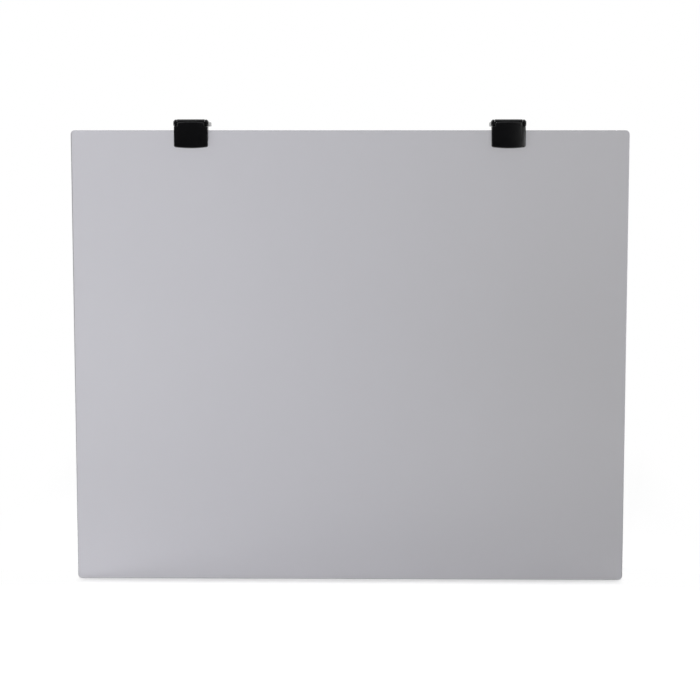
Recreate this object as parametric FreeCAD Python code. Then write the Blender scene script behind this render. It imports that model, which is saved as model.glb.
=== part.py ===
import FreeCAD, Part
import math
import os

# Anti-glare filter that hangs on a monitor by two hinged clips. Millimetres.
# X runs to the right, Y to the back, Z up. The origin is on the monitor's top
# front edge, midway between the clips: the clips' rear jaws bear on the monitor
# at Y = 0 and the grip pads rest on its top at Z = 0.

# Tinted panel
panel_width = 410.0
panel_height = 336.0
panel_thickness = 3.0
panel_corner_radius = 3.0
panel_edge_chamfer = 0.4

# Clip body: fascia in front, bridge over the panel's edge, rear jaw behind
clip_spacing = 232.8
clip_width = 24.9
fascia_rise = 6.2
fascia_drop = 13.1
fascia_thickness = 4.0
fascia_crown = 1.2
fascia_top_bow = 0.5
fascia_top_radius = 1.2
fascia_bottom_radius = 1.4
fascia_edge_chamfer = 0.7
shoulder_rise = 2.9
shoulder_width = 2.45
shoulder_radius = 1.0
jaw_bottom_bow = 0.9
bridge_thickness = 2.5
rear_jaw_thickness = 2.0
rear_jaw_drop = 9.0
rear_jaw_radius = 2.0
rear_jaw_lead_in = 0.4

# Hinge along the clip's top: its knuckle stands on the clip between the arm's two ears
hinge_rise = 5.0
hinge_setback = 0.6
knuckle_radius = 3.0
pin_radius = 1.25
pin_running_clearance = 0.05
pin_end_chamfer = 0.3
pin_end_inset = 0.1
ear_thickness = 2.55
ear_radius = 2.8
ear_rim_chamfer = 1.1
ear_side_gap = 0.3
ear_running_gap = 0.25

# Hanger arm, with a lip that drops behind the monitor's bezel
arm_reach = 29.4
arm_above_axis = 1.3
arm_below_axis = 2.3
arm_root_gap = 1.4
flank_setback = 1.0
arm_tip_thickness = 3.0
arm_tip_radius = 4.5
arm_edge_chamfer = 0.5
lip_width = 14.0
lip_drop = 5.5
lip_thickness = 2.4
lip_radius = 2.0
lip_root_fillet = 0.8

# Foam grip pad, seated in a shallow recess under the arm
pad_length = 12.0
pad_width = 16.0
pad_thickness = 1.9
pad_recess = 0.4
pad_setback = 6.0
pad_corner_radius = 1.5

# Levels that follow from the sizes above
arm_underside = pad_thickness - pad_recess
hinge_z = arm_underside + arm_below_axis
panel_top = hinge_z - hinge_rise
fascia_top = panel_top + fascia_rise
fascia_bottom = panel_top - fascia_drop
shoulder = panel_top + shoulder_rise
bridge_top = panel_top + bridge_thickness
rear_jaw_bottom = panel_top - rear_jaw_drop
lip_bottom = arm_underside - lip_drop

# Depths that follow, from the front to the back
jaw_back = 0.0
panel_back = jaw_back - rear_jaw_thickness
panel_front = panel_back - panel_thickness
fascia_front = panel_front - fascia_thickness
hinge_y = panel_front + hinge_setback
flank_start = hinge_y + flank_setback
plate_start = hinge_y + knuckle_radius + arm_root_gap
arm_end = hinge_y + arm_reach
pad_start = plate_start + pad_setback

# Widths that follow
knuckle_width = clip_width - 2 * shoulder_width
ear_inside = knuckle_width / 2 + ear_side_gap
ear_outside = ear_inside + ear_thickness

# Extra length given to cutting tools so that they pass through what they cut
overcut = 1.0

# How close an edge has to be to a place or a direction to count as lying there
near = 1e-4
parallel = 1 - 1e-6

along_x = FreeCAD.Vector(1, 0, 0)
along_y = FreeCAD.Vector(0, 1, 0)
along_z = FreeCAD.Vector(0, 0, 1)


def line(start, end):
    return Part.makeLine(FreeCAD.Vector(*start), FreeCAD.Vector(*end))


def arc(start, middle, end):
    points = [FreeCAD.Vector(*place) for place in (start, middle, end)]
    return Part.Arc(*points).toShape()


def prism_across(edges, width):
    """Prism of a side section, centred on X = 0."""
    face = Part.Face(Part.Wire(edges))
    face.translate(along_x * (-width / 2))
    return face.extrude(along_x * width)


def polygon_across(corners, width):
    points = [FreeCAD.Vector(0, y, z) for y, z in corners]
    return prism_across(Part.makePolygon(points + points[:1]).Edges, width)


def rod_across(radius, width):
    """Cylinder on the hinge axis, centred on X = 0."""
    return Part.makeCylinder(radius, width, FreeCAD.Vector(-width / 2, hinge_y, hinge_z), along_x)


def straight_edges(shape, direction):
    straight = [edge for edge in shape.Edges if isinstance(edge.Curve, Part.Line)]
    return [edge for edge in straight if abs(edge.Curve.Direction.dot(direction)) > parallel]


def edges_at_depth(shape, depth):
    """Edges that lie in the plane Y = depth."""
    def in_plane(edge):
        return all(abs(point.y - depth) < near for point in edge.discretize(3))

    return [edge for edge in shape.Edges if in_plane(edge)]


def bowed_plate(width, bottom, top, front, back, bottom_radius):
    """Upright plate whose bottom edge bows down in the middle, with rounded bottom corners."""
    half = width / 2
    corner = bottom + jaw_bottom_bow
    outline = [
        line((-half, front, corner), (-half, front, top)),
        line((-half, front, top), (half, front, top)),
        line((half, front, top), (half, front, corner)),
        arc((half, front, corner), (0, front, bottom), (-half, front, corner)),
    ]
    plate = Part.Face(Part.Wire(outline)).extrude(along_y * (back - front))
    corners = straight_edges(plate, along_y)
    lower = [edge for edge in corners if edge.CenterOfMass.z < (bottom + top) / 2]
    return plate.makeFillet(bottom_radius, lower)


def make_panel():
    corner = FreeCAD.Vector(-panel_width / 2, panel_front, panel_top - panel_height)
    slab = Part.makeBox(panel_width, panel_thickness, panel_height, corner)
    slab = slab.makeFillet(panel_corner_radius, straight_edges(slab, along_y))
    rims = edges_at_depth(slab, panel_front) + edges_at_depth(slab, panel_back)
    return slab.makeChamfer(panel_edge_chamfer, rims)


def make_fascia():
    """Front of the clip: crowned across its width, bowed below, with a neck between two shoulders above."""
    half = clip_width / 2
    neck = knuckle_width / 2
    low_corner = fascia_bottom + jaw_bottom_bow
    top_corner = fascia_top - fascia_top_bow
    climb = [(-half, low_corner), (-half, shoulder), (-neck, shoulder), (-neck, top_corner)]
    fall = [(-x, z) for x, z in reversed(climb)]
    rises = [[(x, fascia_front, z) for x, z in run] for run in (climb, fall)]
    outline = [line(a, b) for run in rises for a, b in zip(run, run[1:])]
    outline.insert(3, arc(rises[0][-1], (0, fascia_front, fascia_top), rises[1][0]))
    outline.append(arc(rises[1][-1], (0, fascia_front, fascia_bottom), rises[0][0]))
    plate = Part.Face(Part.Wire(outline)).extrude(along_y * fascia_thickness)
    corner_radii = {
        (half, low_corner): fascia_bottom_radius,
        (half, shoulder): shoulder_radius,
        (neck, top_corner): fascia_top_radius,
    }
    for (x, z), radius in corner_radii.items():
        uprights = straight_edges(plate, along_y)
        places = [(edge, edge.CenterOfMass) for edge in uprights]
        pair = [edge for edge, place in places if math.hypot(abs(place.x) - x, place.z - z) < near]
        plate = plate.makeFillet(radius, pair)
    crown_radius = (half ** 2 + fascia_crown ** 2) / (2 * fascia_crown)
    height = fascia_rise + fascia_drop + 2 * overcut
    base = FreeCAD.Vector(0, fascia_front + crown_radius, fascia_bottom - overcut)
    fascia = plate.common(Part.makeCylinder(crown_radius, height, base, along_z))
    round_faces = [face for face in fascia.Faces if isinstance(face.Surface, Part.Cylinder)]
    front = max(round_faces, key=lambda face: face.Surface.Radius * abs(face.Surface.Axis.z))
    return fascia.makeChamfer(fascia_edge_chamfer, front.OuterWire.Edges)


def make_rear_jaw():
    jaw = bowed_plate(clip_width, rear_jaw_bottom, bridge_top, panel_back, jaw_back, rear_jaw_radius)
    mouth = [edge for edge in edges_at_depth(jaw, panel_back) if edge.CenterOfMass.z < bridge_top]
    return jaw.makeChamfer(rear_jaw_lead_in, mouth)


def make_bridge():
    corner = FreeCAD.Vector(-clip_width / 2, panel_front, panel_top)
    return Part.makeBox(clip_width, jaw_back - panel_front, bridge_thickness, corner)


def make_knuckle():
    """Hinge barrel and the web under it, which stands on the bridge behind the fascia."""
    back = hinge_y + knuckle_radius
    corner = FreeCAD.Vector(-knuckle_width / 2, panel_front, panel_top)
    web = Part.makeBox(knuckle_width, back - panel_front, hinge_z - panel_top, corner)
    return rod_across(knuckle_radius, knuckle_width).fuse(web)


def beside_knuckle(shape, gap):
    """What a shape on the hinge axis leaves on each side of the knuckle, clear of it by the gap."""
    return shape.cut(rod_across(ear_radius + overcut, knuckle_width + 2 * gap))


def make_clip_body():
    body = make_fascia().fuse([make_bridge(), make_rear_jaw(), make_knuckle()])
    ear_room = beside_knuckle(rod_across(ear_radius + ear_running_gap, clip_width + 2 * overcut), 0)
    bore = rod_across(pin_radius, clip_width + 2 * overcut)
    return body.cut([ear_room, bore]).removeSplitter()


def make_pin():
    pin = rod_across(pin_radius, 2 * (ear_outside - pin_end_inset))
    rims = [edge for edge in pin.Edges if isinstance(edge.Curve, Part.Circle)]
    return pin.makeChamfer(pin_end_chamfer, rims)


def pad_block(thickness):
    """Rounded block on the pad's outline, from the pad's seat downwards."""
    seat = arm_underside + pad_recess
    corner = FreeCAD.Vector(-pad_width / 2, pad_start, seat - thickness)
    block = Part.makeBox(pad_width, pad_length, thickness, corner)
    return block.makeFillet(pad_corner_radius, straight_edges(block, along_z))


def make_ears():
    """Discs on the pin, one on each side of the knuckle, with chamfered outer rims."""
    ears = beside_knuckle(rod_across(ear_radius, 2 * ear_outside), ear_side_gap)
    rims = [edge for edge in ears.Edges if abs(abs(edge.CenterOfMass.x) - ear_outside) < near]
    return ears.makeChamfer(ear_rim_chamfer, rims)


def make_arm_plate():
    """Plate of the arm: flush with the ears, and thinner towards its round-cornered tip."""
    section = [
        (flank_start, arm_underside),
        (arm_end, arm_underside),
        (arm_end, arm_underside + arm_tip_thickness),
        (flank_start, hinge_z + arm_above_axis),
    ]
    wedge = polygon_across(section, 2 * ear_outside)
    uprights = straight_edges(wedge, along_z)
    tips = [edge for edge in uprights if abs(edge.CenterOfMass.y - arm_end) < near]
    plate = wedge.makeFillet(arm_tip_radius, tips)
    top = max(plate.Faces, key=lambda face: face.CenterOfMass.z)
    outer = [edge for edge in top.OuterWire.Edges if edge.CenterOfMass.y > flank_start + near]
    return plate.makeChamfer(arm_edge_chamfer, outer)


def make_arm():
    plate = make_arm_plate()
    slot_start = FreeCAD.Vector(-ear_inside, hinge_y - overcut, arm_underside - overcut)
    slot_height = arm_above_axis + arm_below_axis + 2 * overcut
    slot = Part.makeBox(2 * ear_inside, plate_start - hinge_y + overcut, slot_height, slot_start)
    lip_top = arm_underside + arm_tip_thickness / 2
    lip = bowed_plate(lip_width, lip_bottom, lip_top, arm_end - lip_thickness, arm_end, lip_radius)
    arm = plate.cut(slot).fuse([make_ears(), lip]).removeSplitter()
    crossing = straight_edges(arm, along_x)
    inner = FreeCAD.Vector(0, arm_end - lip_thickness, arm_underside)
    root = [edge for edge in crossing if (edge.CenterOfMass - inner).Length < near]
    arm = arm.makeFillet(lip_root_fillet, root)
    arm = arm.cut(pad_block(pad_recess))
    return arm.cut(rod_across(pin_radius + pin_running_clearance, 2 * (ear_outside + overcut)))


def save(shape, name):
    shape.Solids[0].exportStep("parts/" + name + ".step")


os.makedirs("parts", exist_ok=True)
save(make_panel(), "filter_panel")
hanger_pieces = {
    "clip_body": make_clip_body(),
    "hinge_pin": make_pin(),
    "hanger_arm": make_arm(),
    "grip_pad": pad_block(pad_thickness),
}
for side, direction in (("left", -1), ("right", 1)):
    for piece, shape in hanger_pieces.items():
        placed = shape.copy()
        placed.translate(along_x * (direction * clip_spacing / 2))
        save(placed, side + "_" + piece)
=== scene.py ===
import bpy
from math import radians
from mathutils import Matrix, Vector


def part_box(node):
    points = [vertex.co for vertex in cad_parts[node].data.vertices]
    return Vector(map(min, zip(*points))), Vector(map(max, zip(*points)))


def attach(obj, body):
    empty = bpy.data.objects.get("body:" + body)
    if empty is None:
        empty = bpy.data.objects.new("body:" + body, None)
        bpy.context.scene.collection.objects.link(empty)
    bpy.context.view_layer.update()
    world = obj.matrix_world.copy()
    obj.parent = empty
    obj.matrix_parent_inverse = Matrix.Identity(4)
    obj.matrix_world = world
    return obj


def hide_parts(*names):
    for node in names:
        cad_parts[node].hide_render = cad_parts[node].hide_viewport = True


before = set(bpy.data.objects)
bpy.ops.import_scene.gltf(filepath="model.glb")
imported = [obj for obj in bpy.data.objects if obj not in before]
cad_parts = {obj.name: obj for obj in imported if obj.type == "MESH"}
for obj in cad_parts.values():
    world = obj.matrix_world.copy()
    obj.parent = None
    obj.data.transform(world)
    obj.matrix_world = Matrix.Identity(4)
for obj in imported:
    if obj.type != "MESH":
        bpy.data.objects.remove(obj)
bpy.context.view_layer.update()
panelLow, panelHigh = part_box("filter_panel")
panelMiddle = (panelLow + panelHigh) / 2
scene = bpy.context.scene
scene.view_settings.view_transform = "Standard"
print("frame loaded,", len(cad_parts), "nodes")


# One output of a node. Sums written on it become Math nodes.
class Wire:
    def __init__(self, finish, socket):
        self.finish = finish
        self.socket = socket

    def maths(self, operation, first, second=0.0):
        return self.finish.node("ShaderNodeMath", {"operation": operation}, {0: first, 1: second})

    def other(self, name):  # another output of the same node
        return Wire(self.finish, self.socket.node.outputs[name])

    def __add__(self, value):
        return self.maths("ADD", self, value)

    def __radd__(self, value):
        return self.maths("ADD", value, self)

    def __sub__(self, value):
        return self.maths("SUBTRACT", self, value)

    def __rsub__(self, value):
        return self.maths("SUBTRACT", value, self)

    def __mul__(self, value):
        return self.maths("MULTIPLY", self, value)

    def __rmul__(self, value):
        return self.maths("MULTIPLY", value, self)

    def __or__(self, value):  # the larger of the two
        return self.maths("MAXIMUM", self, value)

    def __ror__(self, value):
        return self.maths("MAXIMUM", value, self)

    def __abs__(self):
        return self.maths("ABSOLUTE", self)


# A node tree that is filled one node at a time.
class Finish:
    def __init__(self, owner):
        owner.use_nodes = True
        self.owner = owner
        self.tree = owner.node_tree
        self.tree.nodes.clear()

    def node(self, kind, settings=None, sockets=None):
        made = self.tree.nodes.new(kind)
        for name, value in (settings or {}).items():
            setattr(made, name, value)
        for name, value in (sockets or {}).items():
            if isinstance(name, int):
                socket = made.inputs[name]
            else:
                socket = next(s for s in made.inputs if name in (s.identifier, s.name) and s.enabled)
            if isinstance(value, Wire):
                self.tree.links.new(value.socket, socket)
            elif socket.type == "RGBA":
                socket.default_value = (*value, 1.0)
            else:
                socket.default_value = value
        return Wire(self, next(s for s in made.outputs if s.enabled)) if made.outputs else made

    def coords(self):
        return self.node("ShaderNodeTexCoord").other("Object")

    def stretched(self, scale):  # object coordinates with their own scale along each axis
        return self.node("ShaderNodeMapping", {}, {"Vector": self.coords(), "Scale": scale})

    def split(self, vector):  # its X, with Y and Z as other outputs
        return self.node("ShaderNodeSeparateXYZ", {}, {"Vector": vector})

    def noise(self, vector, scale, detail=2.0, roughness=0.5):
        return self.node("ShaderNodeTexNoise", {}, {
            "Vector": vector, "Scale": scale, "Detail": detail, "Roughness": roughness})

    def between(self, value, low, high):  # 0 at low, 1 at high, eased
        return self.node("ShaderNodeMapRange", {"interpolation_type": "SMOOTHSTEP"}, {
            "Value": value, "From Min": low, "From Max": high})

    def ramp(self, value, low, high, first, last):  # straight line from first at low to last at high
        return self.node("ShaderNodeMapRange", {}, {
            "Value": value, "From Min": low, "From Max": high, "To Min": first, "To Max": last})

    def blend(self, share, first, second):
        return self.node("ShaderNodeMix", {"data_type": "RGBA"}, {
            "Factor_Float": share, "A_Color": first, "B_Color": second})

    def tinted(self, light, hue):
        return self.node("ShaderNodeMix", {"data_type": "RGBA", "blend_type": "MULTIPLY"}, {
            "Factor_Float": 1.0, "A_Color": light, "B_Color": hue})

    def bump(self, height, strength, distance):
        return self.node("ShaderNodeBump", {}, {
            "Height": height, "Strength": strength, "Distance": distance})

    def surface(self, shader):
        inWorld = isinstance(self.owner, bpy.types.World)
        kind = "ShaderNodeOutputWorld" if inWorld else "ShaderNodeOutputMaterial"
        self.node(kind, {}, {"Surface": shader})


def newFinish(name):
    return Finish(bpy.data.materials.new(name))


# Grey acrylic: tinted all through, with a fine matte face and smoother sawn edges.
acrylicLook = {
    "body": (0.666, 0.661, 0.696),
    "cloud": (0.656, 0.652, 0.687),
    "edge": (0.555, 0.552, 0.576),
    "edgeSpan": (-0.0007, -0.00021),  # the edge's colour comes in here, from the rim inwards
    "seeThrough": 0.85,
    "ior": 1.49,
    "glossTint": (0.90, 0.84, 1.0),
    "clouds": {"scale": 14.0},
    "grain": {"scale": 2600.0, "roughness": 0.6},
    "relief": {"strength": 0.12, "distance": 0.00004},
    "faceRoughness": 0.34,
    "edgeRoughness": 0.16,
    "grainRoughness": 0.05,  # how far each of the two changes the face's
    "cloudRoughness": 0.04,
}


def makeAcrylic():
    look = acrylicLook
    mat = newFinish("tintedAcrylic")
    place = mat.coords()
    split = mat.split(place)
    half = (panelHigh - panelLow) / 2
    across = abs(split - panelMiddle.x) - half.x
    upright = abs(split.other("Z") - panelMiddle.z) - half.z
    rim = mat.between(across | upright, *look["edgeSpan"])
    cloud = mat.noise(place, **look["clouds"])
    grain = mat.noise(place, **look["grain"])
    matte = (look["faceRoughness"] + look["grainRoughness"] * (grain - 0.5)
             + look["cloudRoughness"] * (cloud - 0.5))
    mat.surface(mat.node("ShaderNodeBsdfPrincipled", {}, {
        "Base Color": mat.blend(rim, mat.blend(cloud, look["body"], look["cloud"]), look["edge"]),
        "Roughness": matte * (1 - rim) + look["edgeRoughness"] * rim,
        "Normal": mat.bump(grain * (1 - rim), **look["relief"]),
        "IOR": look["ior"],
        "Transmission Weight": look["seeThrough"],
        "Specular Tint": look["glossTint"],
    }))
    return mat.owner


# Black ABS: satin gloss with the faint grain of the mould.
plasticLook = {
    "dark": (0.0030, 0.0031, 0.0036),
    "light": (0.0056, 0.0057, 0.0063),
    "ior": 1.5,
    "grain": {"scale": 4200.0, "detail": 3.0, "roughness": 0.6},
    "flow": {"scale": 130.0, "detail": 3.0},  # how the melt ran in the mould
    "flowStretch": (1.0, 1.0, 2.4),
    "flowHeight": 0.3,  # beside the grain's
    "relief": {"strength": 0.10, "distance": 0.00004},
    "roughness": 0.23,
    "grainRoughness": 0.10,
    "flowRoughness": 0.10,
}


def makePlastic():
    look = plasticLook
    mat = newFinish("blackPlastic")
    grain = mat.noise(mat.coords(), **look["grain"])
    flow = mat.noise(mat.stretched(look["flowStretch"]), **look["flow"])
    mat.surface(mat.node("ShaderNodeBsdfPrincipled", {}, {
        "Base Color": mat.blend(flow, look["dark"], look["light"]),
        "Roughness": (look["roughness"] + look["grainRoughness"] * (grain - 0.5)
                      + look["flowRoughness"] * (flow - 0.5)),
        "Normal": mat.bump(grain + look["flowHeight"] * flow, **look["relief"]),
        "IOR": look["ior"],
    }))
    return mat.owner


# Drawn steel wire: fine lines along the pin.
steelLook = {
    "bright": (0.60, 0.60, 0.61),
    "dull": (0.44, 0.44, 0.45),
    "lineStretch": (300.0, 9000.0, 9000.0),
    "lines": {"scale": 1.0, "detail": 3.0, "roughness": 0.6},
    "stain": {"scale": 700.0},
    "relief": {"strength": 0.15, "distance": 0.00002},
    "roughness": 0.24,
    "lineRoughness": 0.18,
    "stainRoughness": 0.10,
}


def makeSteel():
    look = steelLook
    mat = newFinish("pinSteel")
    lines = mat.noise(mat.stretched(look["lineStretch"]), **look["lines"])
    stain = mat.noise(mat.coords(), **look["stain"])
    mat.surface(mat.node("ShaderNodeBsdfPrincipled", {}, {
        "Base Color": mat.blend(lines, look["dull"], look["bright"]),
        "Metallic": 1.0,
        "Roughness": look["roughness"] + look["lineRoughness"] * lines + look["stainRoughness"] * stain,
        "Normal": mat.bump(lines, **look["relief"]),
    }))
    return mat.owner


# Closed-cell foam: soft black skin full of small cells, with painted shade darkening each cell's hollow
# middle.
foamLook = {
    # painted shade: the colour in a cell's hollow middle, darker than the foam's wall
    "shadedHollow": (0.018, 0.018, 0.020),
    "wall": (0.052, 0.052, 0.056),
    "cellScale": 2700.0,
    "wallSpan": (0.1, 0.75),  # from a cell's middle to its wall
    "fine": {"scale": 6000.0},
    "fineHeight": 0.25,       # beside the cells'
    "relief": {"strength": 0.5, "distance": 0.00012},
    "roughness": 0.80,
    "fineRoughness": 0.15,
    "gloss": 0.3,
}


def makeFoam():
    look = foamLook
    mat = newFinish("gripFoam")
    place = mat.coords()
    cells = mat.node("ShaderNodeTexVoronoi", {"feature": "F1"}, {
        "Vector": place, "Scale": look["cellScale"]})
    fine = mat.noise(place, **look["fine"])
    mat.surface(mat.node("ShaderNodeBsdfPrincipled", {}, {
        # painted shade: each cell's hollow middle is darker, lightening towards its wall
        "Base Color": mat.blend(mat.between(cells, *look["wallSpan"]), look["shadedHollow"], look["wall"]),
        "Roughness": look["roughness"] + look["fineRoughness"] * fine,
        "Normal": mat.bump(cells + look["fineHeight"] * fine, **look["relief"]),
        "Specular IOR Level": look["gloss"],
    }))
    return mat.owner


def coat(piece, material):
    piece.data.materials.clear()
    piece.data.materials.append(material)


acrylic = makeAcrylic()
plastic = makePlastic()
steel = makeSteel()
foam = makeFoam()
print("finishes made")


def pickOnly(piece):
    bpy.ops.object.select_all(action="DESELECT")
    piece.select_set(True)
    bpy.context.view_layer.objects.active = piece


# Clips and arms: the solids' own forms, with their sharp edges rounded as a mould leaves them.
mouldShape = {
    "clipRound": 0.00018,
    "armRound": 0.00016,
    "roundSteps": 2,
    "sharp": 32,        # degrees, from which an edge is rounded
    "flat": 0.5,        # degrees, under which two faces are one
    "merge": 0.000002,  # the solid's mesh is loose triangles
}


def mouldedCopy(node, name, radius):
    look = mouldShape
    piece = bpy.data.objects.new(name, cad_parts[node].data.copy())
    scene.collection.objects.link(piece)
    pickOnly(piece)
    bpy.ops.object.mode_set(mode="EDIT")
    bpy.ops.mesh.select_all(action="SELECT")
    bpy.ops.mesh.remove_doubles(threshold=look["merge"])
    bpy.ops.mesh.customdata_custom_splitnormals_clear()
    bpy.ops.mesh.dissolve_limited(angle_limit=radians(look["flat"]))
    bpy.ops.object.mode_set(mode="OBJECT")
    rounding = piece.modifiers.new("rounding", "BEVEL")
    rounding.width = radius
    rounding.segments = look["roundSteps"]
    rounding.limit_method = "ANGLE"
    rounding.angle_limit = radians(look["sharp"])
    rounding.use_clamp_overlap = True
    bpy.ops.object.modifier_apply(modifier="rounding")
    bpy.ops.object.shade_smooth_by_angle(angle=radians(look["sharp"]))
    return piece


def movedCopy(piece, name, shift):
    twin = bpy.data.objects.new(name, piece.data.copy())
    scene.collection.objects.link(twin)
    twin.data.transform(Matrix.Translation(shift))
    return twin


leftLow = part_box("left_clip_body")[0]
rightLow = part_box("right_clip_body")[0]
clipShift = Vector((rightLow.x - leftLow.x, 0, 0))  # from the left clip to the right one

leftClip = mouldedCopy("left_clip_body", "left_clip", mouldShape["clipRound"])
rightClip = movedCopy(leftClip, "right_clip", clipShift)
leftArm = mouldedCopy("left_hanger_arm", "left_arm", mouldShape["armRound"])
rightArm = movedCopy(leftArm, "right_arm", clipShift)
print("clips and arms moulded,", len(leftClip.data.polygons), "and", len(leftArm.data.polygons), "faces")


# Foam grip pad: its seat fills the recess, its sides draw in and its lower face is softly crowned.
padShape = {
    "seat": 0.40,      # of the height, still at full size
    "corner": 0.0015,
    "cornerSteps": 6,
    "smooth": 40,      # degrees, up to which edges are shaded smooth
    "rings": (         # drop from the ring above, share of the height, and how far each draws in
        (0.22, 0.00005),
        (0.20, 0.00009),
        (0.10, 0.00014),
        (0.06, 0.00026),
        (0.02, 0.00080),
    ),
}


def makeGripPad(node, name):
    look = padShape
    low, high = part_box(node)
    size, middle = high - low, (low + high) / 2
    seat = look["seat"] * size.z
    bpy.ops.object.select_all(action="DESELECT")
    bpy.ops.mesh.primitive_cube_add(size=1.0, location=(middle.x, middle.y, high.z - seat / 2),
                                    scale=(size.x, size.y, seat))
    piece = bpy.context.object
    piece.name = name
    piece.data.name = name
    bpy.ops.object.transform_apply(location=True, rotation=True, scale=True)
    # upright edges become the cut corners
    bpy.ops.object.mode_set(mode="EDIT")
    bpy.ops.mesh.select_mode(type="EDGE")
    bpy.ops.mesh.select_all(action="DESELECT")
    bpy.ops.object.mode_set(mode="OBJECT")
    for edge in piece.data.edges:
        first, second = (piece.data.vertices[i].co for i in edge.vertices)
        edge.select = abs(first.z - second.z) > seat / 2
    bpy.ops.object.mode_set(mode="EDIT")
    bpy.ops.mesh.bevel(offset=look["corner"], segments=look["cornerSteps"], affect="EDGES")
    # the lower face is carried down, ring by ring
    bpy.ops.mesh.select_mode(type="FACE")
    bpy.ops.mesh.select_all(action="DESELECT")
    bpy.ops.object.mode_set(mode="OBJECT")
    for face in piece.data.polygons:
        face.select = face.normal.z < -0.9
    bpy.ops.object.mode_set(mode="EDIT")
    for drop, pull in look["rings"]:
        bpy.ops.mesh.inset(thickness=pull, depth=drop * size.z)
    bpy.ops.object.mode_set(mode="OBJECT")
    pickOnly(piece)
    bpy.ops.object.shade_smooth_by_angle(angle=radians(look["smooth"]))
    return piece


leftPad = makeGripPad("left_grip_pad", "left_grip")
rightPad = movedCopy(leftPad, "right_grip", clipShift)
print("grip pads cut")


sides = {
    "left": (leftClip, leftArm, leftPad),
    "right": (rightClip, rightArm, rightPad),
}
for side, (clip, arm, pad) in sides.items():
    coat(clip, plastic)
    coat(arm, plastic)
    coat(pad, foam)
    coat(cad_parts[side + "_hinge_pin"], steel)
    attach(clip, "panel")
    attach(arm, side + "_hanger")
    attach(pad, side + "_hanger")
    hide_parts(side + "_clip_body")
    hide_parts(side + "_hanger_arm")
    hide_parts(side + "_grip_pad")
coat(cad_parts["filter_panel"], acrylic)
print("pieces dressed")


# The backdrop's light as it comes through the panel: a little cooler at the left.
backdropLook = {
    "white": (1.0, 1.0, 1.0),
    "cool": (1.0, 1.0, 1.018),
    "warm": (1.0, 1.0, 0.970),
}


def backdropHue(mat, through, across, span):
    look = backdropLook
    hue = mat.blend(mat.between(across, *span), look["cool"], look["warm"])
    return mat.blend(through, look["white"], hue)


# Floor at the panel's lower edge: white where it is seen, greyer for the light it throws back.
# Spans and reaches are in metres.
floorLook = {
    "size": 5.0,
    "colour": (0.70, 0.70, 0.70),
    "bounce": (0.16, 0.16, 0.16),
    "lift": 0.08,                 # added for what looks at the floor, so that it reads white
    "shadowSpan": (0.04, 0.62),   # from the panel's plane: all shadow up to here, all white from there
    "sideways": 6.0,              # times as soon beside the panel
    "endSpan": (-0.006, 0.002),   # where the line of shadow ends, from the panel's side outwards
    "endReach": (0.02, 0.06),     # and how far off the panel's plane that holds
    "glossSpan": (-0.30, 0.20),   # gloss shows the white from here back
    "dimSpan": (-0.40, 0.40),     # through the panel the backdrop falls off to the right
    "dim": 0.59,
    "hueSpan": (-0.10, 0.40),
    "shade": (0.90, 0.62),        # of the panel's own shade close behind it, left and right
    "glow": 0.07,                 # light that comes through the panel onto the floor behind its foot
    "glowReach": 0.07,
}


def makeFloor():
    look = floorLook
    bpy.ops.object.select_all(action="DESELECT")
    bpy.ops.mesh.primitive_plane_add(size=look["size"], location=(0, 0, panelLow.z))
    floor = bpy.context.object
    floor.name = "floor"
    bpy.ops.object.transform_apply(location=True)
    mat = newFinish("floorWhite")
    path = mat.node("ShaderNodeLightPath")
    split = mat.split(mat.coords())
    depth = split.other("Y")
    outside = abs(split) - panelHigh.x
    offPlane = abs(depth - panelMiddle.y)
    # what each kind of ray sees of the floor
    through = path.other("Is Transmission Ray")
    mirrored = path.other("Is Glossy Ray") * (1 - through) * mat.between(depth, *look["glossSpan"])
    tone = through * mat.ramp(split, *look["dimSpan"], 1.0, look["dim"])
    shade = mat.ramp(split, panelLow.x, panelHigh.x, *look["shade"])
    seen = path | mirrored | tone
    seenNear = path | mirrored | tone * shade
    hue = backdropHue(mat, through, split, look["hueSpan"])
    # shadow near the panel, white further off
    glow = tone * look["glow"] * (1 - mat.between(offPlane, 0.0, look["glowReach"]))
    matte = mat.tinted(mat.blend(seenNear, look["bounce"], look["colour"]), hue)
    lit = mat.node("ShaderNodeBsdfDiffuse", {}, {"Color": matte})
    lift = mat.node("ShaderNodeEmission", {}, {"Color": mat.tinted(seenNear * look["lift"] + glow, hue)})
    near = mat.node("ShaderNodeAddShader", {}, {0: lit, 1: lift})
    white = mat.node("ShaderNodeEmission", {}, {"Color": mat.tinted(seen, hue)})
    beside = mat.between(outside, *look["endSpan"]) * (1 - mat.between(offPlane, *look["endReach"]))
    far = mat.between(look["sideways"] * outside | offPlane, *look["shadowSpan"]) | path * beside
    mat.surface(mat.node("ShaderNodeMixShader", {}, {0: far, 1: near, 2: white}))
    coat(floor, mat.owner)


# White all round for what is seen, a dim room in front for gloss, and a soft even fill.
# Spans are by direction.
roomLook = {
    "fill": 0.60,
    "front": 0.02,
    "glossSpan": (-0.15, 0.40),  # from the dim front to the white behind
    "dimSpan": (-0.17, 0.30),    # the same fall-off as on the floor
    "dim": 0.50,
    "hueSpan": (-0.04, 0.13),
}


def makeRoom():
    look = roomLook
    room = bpy.data.worlds.new("room")
    scene.world = room
    mat = Finish(room)
    path = mat.node("ShaderNodeLightPath")
    split = mat.split(mat.node("ShaderNodeTexCoord").other("Generated"))
    gloss = path.other("Is Glossy Ray")
    through = path.other("Is Transmission Ray")
    behind = mat.between(split.other("Y"), *look["glossSpan"])
    tone = mat.ramp(split, *look["dimSpan"], 1.0, look["dim"])
    glossLight = look["front"] + (1.0 - look["front"]) * behind
    soft = gloss * glossLight + (1 - gloss) * look["fill"]
    light = path + through * tone + (1 - path - through) * soft
    hue = backdropHue(mat, through, split, look["hueSpan"])
    mat.surface(mat.node("ShaderNodeBackground", {}, {"Color": mat.tinted(light, hue)}))


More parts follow.
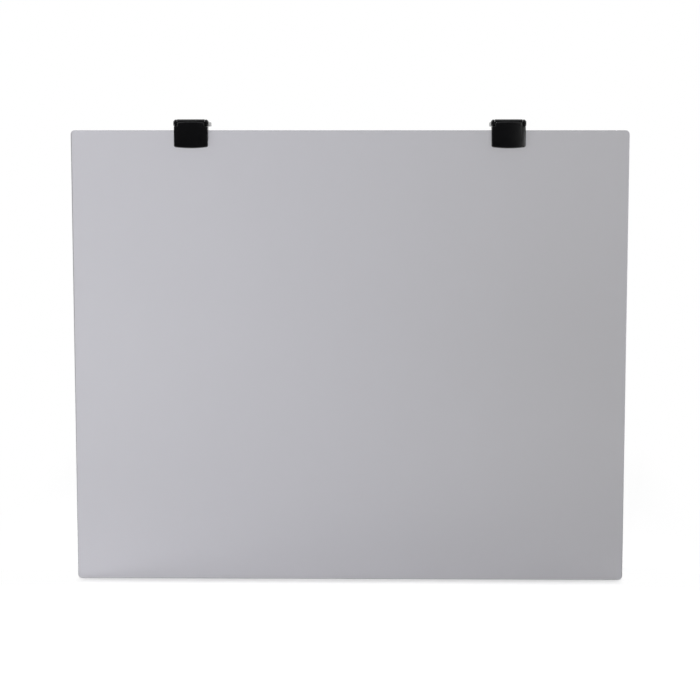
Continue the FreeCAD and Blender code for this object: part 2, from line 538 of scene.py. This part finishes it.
# Soft boxes: the key at the left, a weak one at the right for the gloss, and a narrow one
# overhead, a little behind the panel, whose shadow ends close to the panel's foot.
lamps = {
    "keyBox": {
        "shape": "RECTANGLE", "size": (0.6, 0.8), "watts": 14.0, "colour": (1.0, 0.99, 1.03),
        "from": (-1.10, -0.80, -0.12), "to": (-0.05, 0.0, -0.14), "mirrored": False,
    },
    "rightBox": {
        "shape": "RECTANGLE", "size": (0.3, 0.8), "watts": 3.2, "colour": (1.0, 1.0, 1.0),
        "from": (0.72, -0.80, 0.00), "to": (0.10, 0.0, -0.05), "mirrored": True,
    },
    "topStrip": {
        "shape": "ELLIPSE", "size": (1.0, 0.062), "watts": 11.5, "colour": (1.0, 1.0, 1.0),
        "from": (0.0, 0.0115, 0.86), "to": (0.0, 0.0115, 0.0), "mirrored": False,
    },
}


def makeLamps():
    for name, lamp in lamps.items():
        aim = Vector(lamp["to"]) - Vector(lamp["from"])
        turn = aim.to_track_quat("-Z", "Y").to_euler()
        bpy.ops.object.light_add(type="AREA", location=lamp["from"], rotation=turn)
        light = bpy.context.object
        light.name = name
        light.visible_glossy = lamp["mirrored"]
        light.visible_transmission = False  # or it shows as a spot through the panel
        light.data.shape = lamp["shape"]
        light.data.size, light.data.size_y = lamp["size"]
        light.data.energy = lamp["watts"]
        light.data.color = lamp["colour"]


# Long lens, level with the tops of the clips, looking a little down.
cameraLook = {
    "lens": 98.3,       # mm
    "sensor": 36.0,     # mm
    "nearest": 0.05,
    "distance": 1.42,
    "pitch": 6.8,
    "yaw": 0.89,
    "aimRight": 0.0003,  # from the middle of the panel's face
    "aimUp": 0.0058,
}


def makeCamera():
    look = cameraLook
    aim = Vector((look["aimRight"], panelLow.y, panelMiddle.z + look["aimUp"]))
    bpy.ops.object.camera_add(rotation=(radians(90 - look["pitch"]), 0, radians(look["yaw"])))
    camera = bpy.context.object
    bpy.context.view_layer.update()
    ahead = camera.matrix_world.to_3x3() @ Vector((0, 0, -1))
    camera.location = aim - look["distance"] * ahead
    camera.data.sensor_width = look["sensor"]
    camera.data.lens = look["lens"]
    camera.data.clip_start = look["nearest"]
    scene.camera = camera


makeFloor()
makeRoom()
makeLamps()
makeCamera()
print("stage set")
